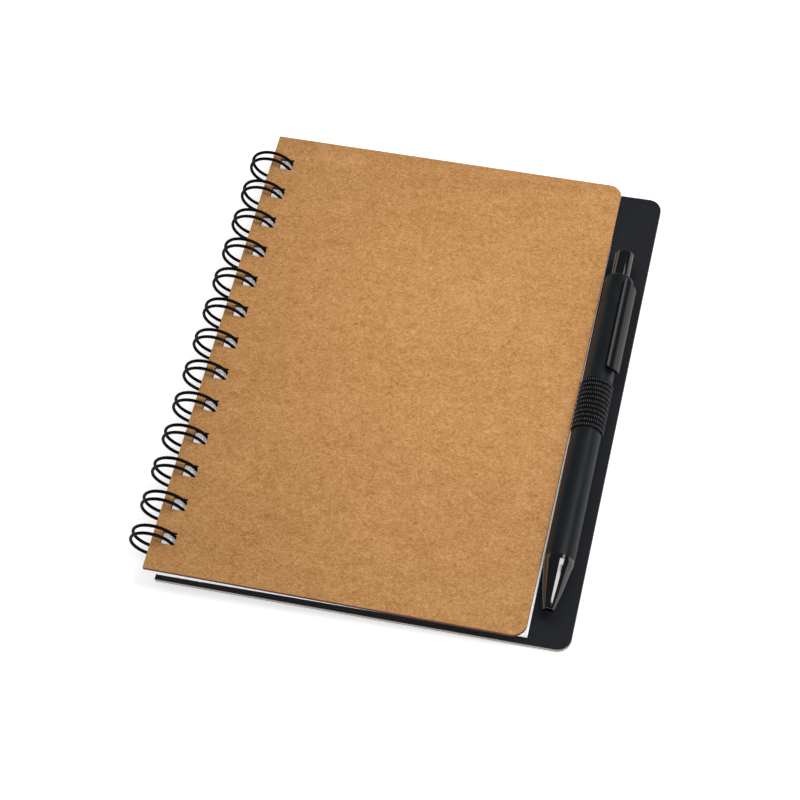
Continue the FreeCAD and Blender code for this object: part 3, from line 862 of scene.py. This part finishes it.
# %% A lathe for the pen
LATHE_STEPS = 96
CORNER_STEPS = 5
ON_AXIS = 0.0000001
barrel_low, barrel_high = flat_box("pen_barrel")
PEN_AXIS = Vector(((barrel_low.x + barrel_high.x) / 2, 0, (barrel_low.z + barrel_high.z) / 2))
PEN_RADIUS = (barrel_high.x - barrel_low.x) / 2
print("pen radius in mm", round(PEN_RADIUS * 1000, 2))


def rounded_outline(corners):
    """The outline with each corner of (radius, height, roundness) turned into an arc."""
    outline = []
    for k, (radius, height, roundness) in enumerate(corners):
        here = Vector((radius, height))
        if roundness == 0:
            outline.append(here)
            continue
        before = (Vector(corners[k - 1][:2]) - here).normalized()
        after = (Vector(corners[(k + 1) % len(corners)][:2]) - here).normalized()
        half = before.angle(after) / 2
        reach = roundness / math.tan(half)
        start = here + before * reach
        end = here + after * reach
        centre = here + (before + after).normalized() * (roundness / math.sin(half))
        first = start - centre
        turn = first.angle_signed(end - centre)
        for step in range(CORNER_STEPS + 1):
            spin = Matrix.Rotation(-turn * step / CORNER_STEPS, 2)
            outline.append(centre + spin @ first)
    return outline


def lathe(corners):
    """A closed mesh turned about the pen's axis, in its real place."""
    outline = rounded_outline(corners)
    shape = bmesh.new()
    rings = []
    for radius, height in outline:
        if radius < ON_AXIS:
            rings.append([shape.verts.new((PEN_AXIS.x, height, PEN_AXIS.z))])
            continue
        ring = []
        for k in range(LATHE_STEPS):
            turn = 2 * math.pi * k / LATHE_STEPS
            ring.append(shape.verts.new((
                PEN_AXIS.x + radius * math.cos(turn), height, PEN_AXIS.z + radius * math.sin(turn)
            )))
        rings.append(ring)
    for near, far in zip(rings, rings[1:] + rings[:1]):
        if len(near) == 1 and len(far) == 1:
            continue
        for k in range(LATHE_STEPS):
            after = (k + 1) % LATHE_STEPS
            corners_of_face = []
            for ring, spot in ((near, k), (near, after), (far, after), (far, k)):
                vertex = ring[spot % len(ring)]
                if vertex not in corners_of_face:
                    corners_of_face.append(vertex)
            shape.faces.new(corners_of_face)
    bmesh.ops.recalc_face_normals(shape, faces=shape.faces)
    mesh = mesh_from(shape)
    mesh.transform(BOARD_SPACE)
    return mesh


# %% [markdown]
# The barrel is a plain tube. The nose cone swells very slightly between its
# mouth and its shoulder, which is what makes its highlight taper, and the short
# collar above the shoulder is as wide as the barrel. The cap closes the barrel
# and holds the button, and its corner is rounded like a coin's.

# %% Barrel, nose cone, cap and button
BARREL_WALL = 0.00075
EDGE_ROUND = 0.00012
FINE_ROUND = 0.0001
TIP = flat_box("nose_cone")[0].y
SHOULDER = barrel_low.y - 0.0035
COLLAR = barrel_low.y - 0.0016
SHOULDER_STEP = 0.00045
SHOULDER_ROUND = 0.0008
COLLAR_ROUND = 0.0004
TIP_RADIUS = 0.00175
TIP_ROUND = 0.0002
MOUTH_RADIUS = 0.0012
MOUTH_ROUND = 0.00015
SPRING_BORE = 0.00166
SPRING_SEAT = TIP + 0.005
PLUG_RADIUS = PEN_RADIUS - 0.0008
PLUG_WALL = 0.0005
PLUG_LENGTH = 0.007
PLUG_ROUND = 0.0002
BULGE = 0.00022
BULGE_STEPS = 7
CAP_TOP = flat_box("top_cap")[1].y
CAP_ROUND = 0.0009
CAP_RIM = 0.002
BUTTON_RADIUS = 0.00325
BUTTON_WALL = 0.0005
BUTTON_ROUND = 0.0004
BUTTON_COLLAR = 0.00035
BUTTON_COLLAR_LENGTH = 0.003
BUTTON_LOW = flat_box("plunger")[0].y
BUTTON_TOP = flat_box("plunger")[1].y
SLIDE_GAP = 0.00005


def pen_barrel():
    low, high = barrel_low.y, barrel_high.y
    mesh = lathe([
        (PEN_RADIUS - BARREL_WALL, low, 0),
        (PEN_RADIUS, low, EDGE_ROUND),
        (PEN_RADIUS, high, EDGE_ROUND),
        (PEN_RADIUS - BARREL_WALL, high, 0),
    ])
    mesh_object("barrel", mesh, ["barrel"], "pen", ["pen_barrel"])


def cone_side():
    """Points up the cone's side, with its slight swell."""
    points = []
    for k in range(1, BULGE_STEPS):
        share = k / BULGE_STEPS
        radius = TIP_RADIUS + (PEN_RADIUS - SHOULDER_STEP - TIP_RADIUS) * share
        swell = BULGE * math.sin(math.pi * share)
        points.append((radius + swell, TIP + (SHOULDER - TIP) * share, 0))
    return points


def nose_cone():
    low = barrel_low.y
    bore = PLUG_RADIUS - PLUG_WALL
    corners = [(MOUTH_RADIUS, TIP, MOUTH_ROUND), (TIP_RADIUS, TIP, TIP_ROUND)]
    corners += cone_side()
    corners += [
        (PEN_RADIUS - SHOULDER_STEP, SHOULDER, SHOULDER_ROUND),
        (PEN_RADIUS, COLLAR, COLLAR_ROUND),
        (PEN_RADIUS, low, FINE_ROUND),
        (PLUG_RADIUS, low, 0),
        (PLUG_RADIUS, low + PLUG_LENGTH, PLUG_ROUND),
        (bore, low + PLUG_LENGTH, 0),
        (bore, SHOULDER, 0),
        (SPRING_BORE, SHOULDER, 0),
        (SPRING_BORE, SPRING_SEAT, 0),
        (MOUTH_RADIUS, SPRING_SEAT, 0),
    ]
    mesh = lathe(corners)
    mesh_object("cone", mesh, ["gloss"], "pen", ["nose_cone"])


def top_cap():
    bore = BUTTON_RADIUS + BUTTON_COLLAR + SLIDE_GAP
    lip = BUTTON_RADIUS + SLIDE_GAP
    low = barrel_high.y
    mesh = lathe([
        (bore, low - PLUG_LENGTH, 0),
        (PLUG_RADIUS, low - PLUG_LENGTH, PLUG_ROUND),
        (PLUG_RADIUS, low, 0),
        (PEN_RADIUS, low, EDGE_ROUND),
        (PEN_RADIUS, CAP_TOP, CAP_ROUND),
        (lip, CAP_TOP, FINE_ROUND),
        (lip, CAP_TOP - CAP_RIM, 0),
        (bore, CAP_TOP - CAP_RIM, 0),
    ])
    mesh_object("cap", mesh, ["barrel"], "pen", ["top_cap"])


def push_button():
    collar = BUTTON_RADIUS + BUTTON_COLLAR
    collar_top = CAP_TOP - CAP_RIM - SLIDE_GAP
    collar_low = collar_top - BUTTON_COLLAR_LENGTH
    hollow = BUTTON_RADIUS - BUTTON_WALL
    mesh = lathe([
        (0, collar_low, 0),
        (hollow, collar_low, 0),
        (hollow, BUTTON_LOW, 0),
        (BUTTON_RADIUS, BUTTON_LOW, 0),
        (BUTTON_RADIUS, collar_low, 0),
        (collar, collar_low, 0),
        (collar, collar_top, 0),
        (BUTTON_RADIUS, collar_top, 0),
        (BUTTON_RADIUS, BUTTON_TOP, BUTTON_ROUND),
        (0, BUTTON_TOP, 0),
    ])
    mesh_object("button", mesh, ["gloss"], "button", ["plunger"])


pen_barrel()
nose_cone()
top_cap()
push_button()

# %% [markdown]
# The clip is a strip that follows the pen's roundness. It is drawn unrolled, as
# a grid of stations along the pen and across the strip, and each point is then
# wrapped round the axis. Each of its four corners has its own roundness. Its
# upper end is cut askew, higher on its left, and is fixed to the cap by a foot.
# The free end carries a small bead. A thickness and a bevel finish it.

# %% Clip
CLIP_TURN = 45.0
CLIP_INNER = PEN_RADIUS + 0.0007
CLIP_THICKNESS = 0.0013
CLIP_WIDTH = 0.0059
CLIP_ROWS = 44
CLIP_COLUMNS = 12
CLIP_BEVEL = 0.00038
LEFT_CORNERS = (0.0007, 0.0005)
RIGHT_CORNERS = (0.0005, 0.0014)
CLIP_SKEW = 0.0009
BLOCK_STEPS = 6
clip_low, clip_high = flat_box("pen_clip")
CLIP_FOOT = (clip_high.y - 0.006, clip_high.y - 0.0004)
CLIP_FOOT_WIDTH = (-0.0027, 0.002)
CLIP_FOOT_SINK = 0.0002
BEAD = (clip_low.y + 0.0012, clip_low.y + 0.0036)
BEAD_WIDTH = (-0.002, 0.002)
BEAD_GAP = 0.0001


def wrapped(across, y, radius):
    """A point at a distance across the strip, wrapped round the pen at a radius."""
    turn = math.radians(90 - CLIP_TURN) - across / (CLIP_INNER + CLIP_THICKNESS)
    return Vector((
        PEN_AXIS.x + radius * math.cos(turn), y, PEN_AXIS.z + radius * math.sin(turn)
    ))


def drawn_in(along, length, corners):
    """How far a side of the strip is drawn in by its lower and its upper round corner."""
    inwards = 0
    for distance, corner in zip((along, length - along), corners):
        if distance < corner:
            inwards += corner - math.sqrt(max(corner ** 2 - (corner - distance) ** 2, 0))
    return inwards


def clip_grid(radius):
    """The strip's points at one radius, in rows from its free end up."""
    length = clip_high.y - clip_low.y
    rows = []
    for j in range(CLIP_ROWS + 1):
        along = length * (0.5 - 0.5 * math.cos(math.pi * j / CLIP_ROWS))
        left = drawn_in(along, length, LEFT_CORNERS) - CLIP_WIDTH / 2
        right = CLIP_WIDTH / 2 - drawn_in(along, length, RIGHT_CORNERS)
        row = []
        for i in range(CLIP_COLUMNS + 1):
            share = i / CLIP_COLUMNS
            skew = CLIP_SKEW * (1 - 2 * share) * (along / length) ** 8
            row.append(wrapped(left + (right - left) * share, clip_low.y + along + skew, radius))
        rows.append(row)
    return rows


def add_shell(shape, outer_points, inner_points):
    """A closed skin over two grids of points, one above the other."""
    outer = [[shape.verts.new(p) for p in row] for row in outer_points]
    inner = [[shape.verts.new(p) for p in row] for row in inner_points]
    last_row = len(outer) - 1
    last_column = len(outer[0]) - 1
    for j in range(last_row):
        for i in range(last_column):
            shape.faces.new([outer[j][i], outer[j][i + 1], outer[j + 1][i + 1], outer[j + 1][i]])
            shape.faces.new([inner[j + 1][i], inner[j + 1][i + 1], inner[j][i + 1], inner[j][i]])
        for i in (0, last_column):
            shape.faces.new([outer[j][i], outer[j + 1][i], inner[j + 1][i], inner[j][i]])
    for i in range(last_column):
        for j in (0, last_row):
            shape.faces.new([outer[j][i], outer[j][i + 1], inner[j][i + 1], inner[j][i]])


def curved_block(shape, y_range, across_range, radii):
    """A block between two radii, wrapped round the pen."""
    start, end = across_range
    across = [start + (end - start) * i / BLOCK_STEPS for i in range(BLOCK_STEPS + 1)]
    along = (y_range[0], sum(y_range) / 2, y_range[1])
    inner, outer = [[[wrapped(x, y, radius) for x in across] for y in along] for radius in radii]
    add_shell(shape, outer, inner)


def pen_clip():
    shape = bmesh.new()
    add_shell(shape, clip_grid(CLIP_INNER + CLIP_THICKNESS), clip_grid(CLIP_INNER))
    bmesh.ops.recalc_face_normals(shape, faces=shape.faces)
    bevel_sharp(shape, angle=50, width=CLIP_BEVEL, segments=3, clamp=True)
    middle = CLIP_INNER + CLIP_THICKNESS / 2
    curved_block(shape, CLIP_FOOT, CLIP_FOOT_WIDTH, (PEN_RADIUS - CLIP_FOOT_SINK, middle))
    curved_block(shape, BEAD, BEAD_WIDTH, (PEN_RADIUS + BEAD_GAP, middle))
    bmesh.ops.recalc_face_normals(shape, faces=shape.faces)
    mesh = mesh_from(shape)
    mesh.transform(BOARD_SPACE)
    mesh_object("clip", mesh, ["clip"], "pen", ["pen_clip"])


pen_clip()

# %% [markdown]
# The elastic loop is knitted: eleven ribs go round the pen, and each rib is a
# row of short stitches that lie along the pen. The ribs are one turned outline
# with a groove between neighbours. Geometry Nodes set a stitch on every point of
# a ring, repeat the ring for each rib and turn each stitch a little at random.
# The stitches are painted grey, lighter than the black yarn, as a painted sheen,
# and the band under them is painted near black as shade between the stitches.

# %% Elastic loop
loop_low, loop_high = flat_box("pen_loop")
RIB_COUNT = 11
RIB_PITCH = (loop_high.y - loop_low.y) / RIB_COUNT
LOOP_INNER = PEN_RADIUS + 0.00005
LOOP_OUTER = PEN_RADIUS + 0.00055
RIB_GROOVE = LOOP_OUTER - 0.0003
RIB_CREST = LOOP_OUTER - 0.00014
CREST_SPAN = (0.22, 0.78)
STITCHES = 46
STITCH_HALF_SIZE = (0.00014, 0.00010, 0.00062)
STITCH_TILT = ((0.25, -0.1, -0.1), (0.65, 0.1, 0.1))
TURN_SEED = 3
TILT_SEED = 5
FOOT_WIDTH = 0.008
FOOT_THICKNESS = 0.0005
FOOT_BEVEL = 0.0001


def rib_outline():
    """A band under the stitches, with a groove between neighbouring ribs."""
    corners = [(LOOP_INNER, loop_high.y, 0), (LOOP_INNER, loop_low.y, 0)]
    start, end = CREST_SPAN
    for k in range(RIB_COUNT):
        for share, radius in ((0.0, RIB_GROOVE), (start, RIB_CREST), (end, RIB_CREST)):
            corners.append((radius, loop_low.y + RIB_PITCH * (k + share), 0))
    corners.append((RIB_GROOVE, loop_high.y, 0))
    return corners


def stitch_tree():
    """A tree that covers a turned band with stitches, and the sockets of its inputs."""
    tree, given, sockets = new_tree(
        "stitches round a loop",
        [("Ribs", "Int"), ("Pitch", "Float"), ("Stitches", "Int"), ("Radius", "Float")],
    )
    ring = tree.node(
        "GeometryNodeMeshCircle", None, {"Vertices": given["Stitches"], "Radius": given["Radius"]}
    )
    step = tree.node("ShaderNodeCombineXYZ", None, {"Z": given["Pitch"]})
    line = tree.node("GeometryNodeMeshLine", None, {"Count": given["Ribs"], "Offset": step})
    span = {2: 0.0, 3: 2 * math.pi, "Seed": TURN_SEED}
    turn = tree.node("FunctionNodeRandomValue", {"data_type": "FLOAT"}, span, 1)
    twist = tree.node("ShaderNodeCombineXYZ", None, {"Z": turn})
    rings = tree.node(
        "GeometryNodeInstanceOnPoints", None, {"Points": line, "Instance": ring, "Rotation": twist}
    )
    spots = tree.node("GeometryNodeRealizeInstances", None, [rings])
    place = tree.node("GeometryNodeInputPosition")
    outwards = tree.node(
        "ShaderNodeVectorMath", {"operation": "MULTIPLY"}, [place, (1.0, 1.0, 0.0)]
    )
    facing = tree.node(
        "FunctionNodeAlignRotationToVector", {"axis": "X", "pivot_axis": "Z"}, {"Vector": outwards}
    )
    span = {0: STITCH_TILT[0], 1: STITCH_TILT[1], "Seed": TILT_SEED}
    tilt = tree.node("FunctionNodeRandomValue", {"data_type": "FLOAT_VECTOR"}, span)
    stitch = tree.node(
        "GeometryNodeMeshUVSphere", None, {"Segments": 8, "Rings": 6, "Radius": 1.0}
    )
    values = {"Points": spots, "Instance": stitch, "Rotation": facing, "Scale": STITCH_HALF_SIZE}
    copies = tree.node("GeometryNodeInstanceOnPoints", None, values)
    uneven = tree.node(
        "GeometryNodeRotateInstances", None, {"Instances": copies, "Rotation": tilt}
    )
    close_tree(tree, uneven, "yarn")
    return tree, sockets


def stitches():
    """The stitches as one mesh, laid round the pen."""
    tree, sockets = stitch_tree()
    numbers = {
        "Ribs": RIB_COUNT,
        "Pitch": RIB_PITCH,
        "Stitches": STITCHES,
        "Radius": RIB_CREST,
    }
    mesh = grow(tree, sockets, numbers)
    upright_to_pen = Matrix.Rotation(-math.pi / 2, 4, "X")
    start = Vector((PEN_AXIS.x, loop_low.y + RIB_PITCH / 2, PEN_AXIS.z))
    mesh.transform(BOARD_SPACE @ Matrix.Translation(start) @ upright_to_pen)
    return mesh


def loop_foot(shape):
    """The flat part of the band, glued to the board under the pen."""
    centre = Vector((PEN_AXIS.x, (loop_low.y + loop_high.y) / 2, loop_low.z + FOOT_THICKNESS / 2))
    size = (FOOT_WIDTH, loop_high.y - loop_low.y, FOOT_THICKNESS)
    matrix = BOARD_SPACE @ Matrix.Translation(centre) @ Matrix.Diagonal((*size, 1))
    made = bmesh.ops.create_cube(shape, size=1.0, matrix=matrix)
    edges = {edge for vertex in made["verts"] for edge in vertex.link_edges}
    bmesh.ops.bevel(shape, geom=list(edges), offset=FOOT_BEVEL, segments=2, affect="EDGES")


def elastic_loop():
    shape = bmesh.new()
    shape.from_mesh(stitches())
    stitch_faces = len(shape.faces)
    shape.from_mesh(lathe(rib_outline()))
    loop_foot(shape)
    shape.faces.ensure_lookup_table()
    for face in shape.faces[stitch_faces:]:
        face.material_index = 1
    mesh_object(
        "elastic", mesh_from(shape), ["yarn", "rubber"], "back", ["pen_loop"]
    )


elastic_loop()

# %% [markdown]
# The return spring hides in the nose cone. It is a helix, worked out turn by
# turn, with the same round rod laid along it as the wire. When the button is
# pressed the refill comes down and squeezes it towards its seat; here it keeps
# the length of its solid.

# %% Return spring
SPRING_TURNS = 8
SPRING_STEPS = 20
SPRING_WIRE = 0.00036
SPRING_SIDES = 8
spring_low, spring_high = flat_box("return_spring")


def return_spring():
    radius = (spring_high.x - spring_low.x - SPRING_WIRE) / 2
    low = spring_low.y + SPRING_WIRE / 2
    high = spring_high.y - SPRING_WIRE / 2
    count = SPRING_TURNS * SPRING_STEPS
    points = []
    for k in range(count + 1):
        turn = 2 * math.pi * k / SPRING_STEPS
        points.append(Vector((
            PEN_AXIS.x + radius * math.cos(turn),
            low + (high - low) * k / count,
            PEN_AXIS.z + radius * math.sin(turn),
        )))
    mesh = rod_mesh(points, SPRING_WIRE, SPRING_SIDES, "steel")
    mesh.transform(BOARD_SPACE)
    spring = mesh_object("spring", mesh, ["steel"], "pen", ["return_spring"])
    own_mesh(spring)


return_spring()

# %% [markdown]
# The click rotor and the refill are inside the pen, where nobody sees them at
# rest. Their solids stay as they are, and each only gets its finish.

# %% Pieces that keep their solids
KEPT = {"click_rotor": "rotor", "refill_tube": "refill", "refill_tip": "brass"}
for node, finish in KEPT.items():
    kept_mesh = frame["nodes"][node].data
    kept_mesh.materials.clear()
    kept_mesh.materials.append(FINISHES[finish])
print("kept", sorted(KEPT))

# %% [markdown]
# The table is a wide white plane. The camera, and anything that mirrors it,
# sees it lifted towards pure white, while its shadow stays. Every other ray
# meets plain white paint, so the light on the notebook is not raised. In a mirror
# the world is bright at the horizon and dim overhead: black gloss then keeps its
# black, with thin bright rims where it turns away.

# %% Table and world
TABLE_SIZE = 12.0
TABLE_WHITE = (0.8, 0.8, 0.8, 1.0)
CAMERA_LIFT = 0.62
MIRROR_LIFT = 0.2
HORIZON_LIGHT = 0.24
ZENITH_LIGHT = 0.40
MIRROR_SHARE = 0.3
RIM_LIGHT = 1.3
OVERHEAD = (0.05, 0.75)
HORIZON = (0.0, 0.3)


def table_lift(tree):
    """Light added for rays from the camera, from a mirror or through glass."""
    path = tree.node("ShaderNodeLightPath")
    mirrored = path.output("Is Glossy Ray") + path.output("Is Transmission Ray")
    return path.output("Is Camera Ray") * CAMERA_LIFT + mirrored * MIRROR_LIFT


def table_finish():
    finish = Finish("table")
    paint = finish.node("ShaderNodeBsdfDiffuse", None, {"Color": TABLE_WHITE})
    lift = finish.node("ShaderNodeEmission", None, {"Strength": table_lift(finish)})
    both = finish.node("ShaderNodeAddShader", None, [paint, lift])
    finish.node("ShaderNodeOutputMaterial", None, {"Surface": both})
    return finish.material


def make_table():
    mesh = bpy.data.meshes.new("table")
    half = TABLE_SIZE / 2
    corners = [(-half, -half, 0), (half, -half, 0), (half, half, 0), (-half, half, 0)]
    mesh.from_pydata(corners, [], [(0, 1, 2, 3)])
    mesh.materials.append(table_finish())
    new_object("table", mesh)


def make_world():
    world = bpy.data.worlds.new("studio")
    world.use_nodes = True
    bpy.context.scene.world = world
    tree = Tree(world.node_tree)
    tree.nodes.nodes.clear()
    direction = tree.node("ShaderNodeTexCoord").output("Generated")
    parts = tree.node("ShaderNodeSeparateXYZ", None, [direction])
    overhead = parts.output("Z").between(*OVERHEAD)
    low = 1 - parts.output("Z").between(*HORIZON)
    path = tree.node("ShaderNodeLightPath")
    studio = overhead * (ZENITH_LIGHT - HORIZON_LIGHT) + HORIZON_LIGHT
    mirrored = studio * MIRROR_SHARE + low * RIM_LIGHT
    seen = path.output("Is Glossy Ray") * (mirrored - studio) + studio
    strength = path.output("Is Camera Ray") * (1 - seen) + seen
    light = tree.node("ShaderNodeBackground", None, {"Color": (1, 1, 1, 1), "Strength": strength})
    tree.node("ShaderNodeOutputWorld", None, {"Surface": light})


make_table()
make_world()
print("table", TABLE_SIZE, "metres wide")

# %% [markdown]
# Four soft boxes light the set. The long one above, a little to the right, is
# the bright stripe on the nose cone: its direction was found from where the
# cone's side mirrors it into the camera. The near one hangs low over the middle
# of the cover, and leaves its corners darker. It is hidden from mirrors, or the
# pen would show it. The third puts a broad sheen on the pen, and the one in
# front lights the cut edges. Each box is a target, a direction to look in from
# there, a distance, two sides in metres, a power in watts and whether mirrors
# show it.

# %% Lamps
SOFT_BOXES = [
    ("stripe box", (0.065, -0.07, 0.01), (0.42, 0.092, 0.903), 0.62, (0.34, 0.13), 1.15, True),
    ("near box", (0.03, 0.035, 0.0), (0.0, 0.0, 1.0), 0.19, (0.10, 0.10), 0.115, False),
    ("sheen box", (0.065, -0.01, 0.01), (0.51, 0.485, 0.71), 0.50, (0.14, 0.26), 0.26, True),
    ("front box", (0.0, -0.09, 0.0), (-0.05, -0.99, 0.07), 0.65, (0.50, 0.08), 1.5, True),
]


def make_lamp(name, target, direction, distance, sides, power, mirrored):
    data = bpy.data.lights.new(name, "AREA")
    data.shape = "RECTANGLE"
    data.size, data.size_y = sides
    data.energy = power
    away = Vector(direction).normalized()
    across = Vector((1, 0, 0))
    across = (across - away * across.dot(away)).normalized()
    turn = Matrix((across, away.cross(across), away)).transposed().to_4x4()
    lamp = new_object(name, data)
    lamp.matrix_world = Matrix.Translation(Vector(target) + away * distance) @ turn
    lamp.visible_camera = False
    lamp.visible_glossy = mirrored


for soft_box in SOFT_BOXES:
    make_lamp(*soft_box)
print("lamps", len(SOFT_BOXES))
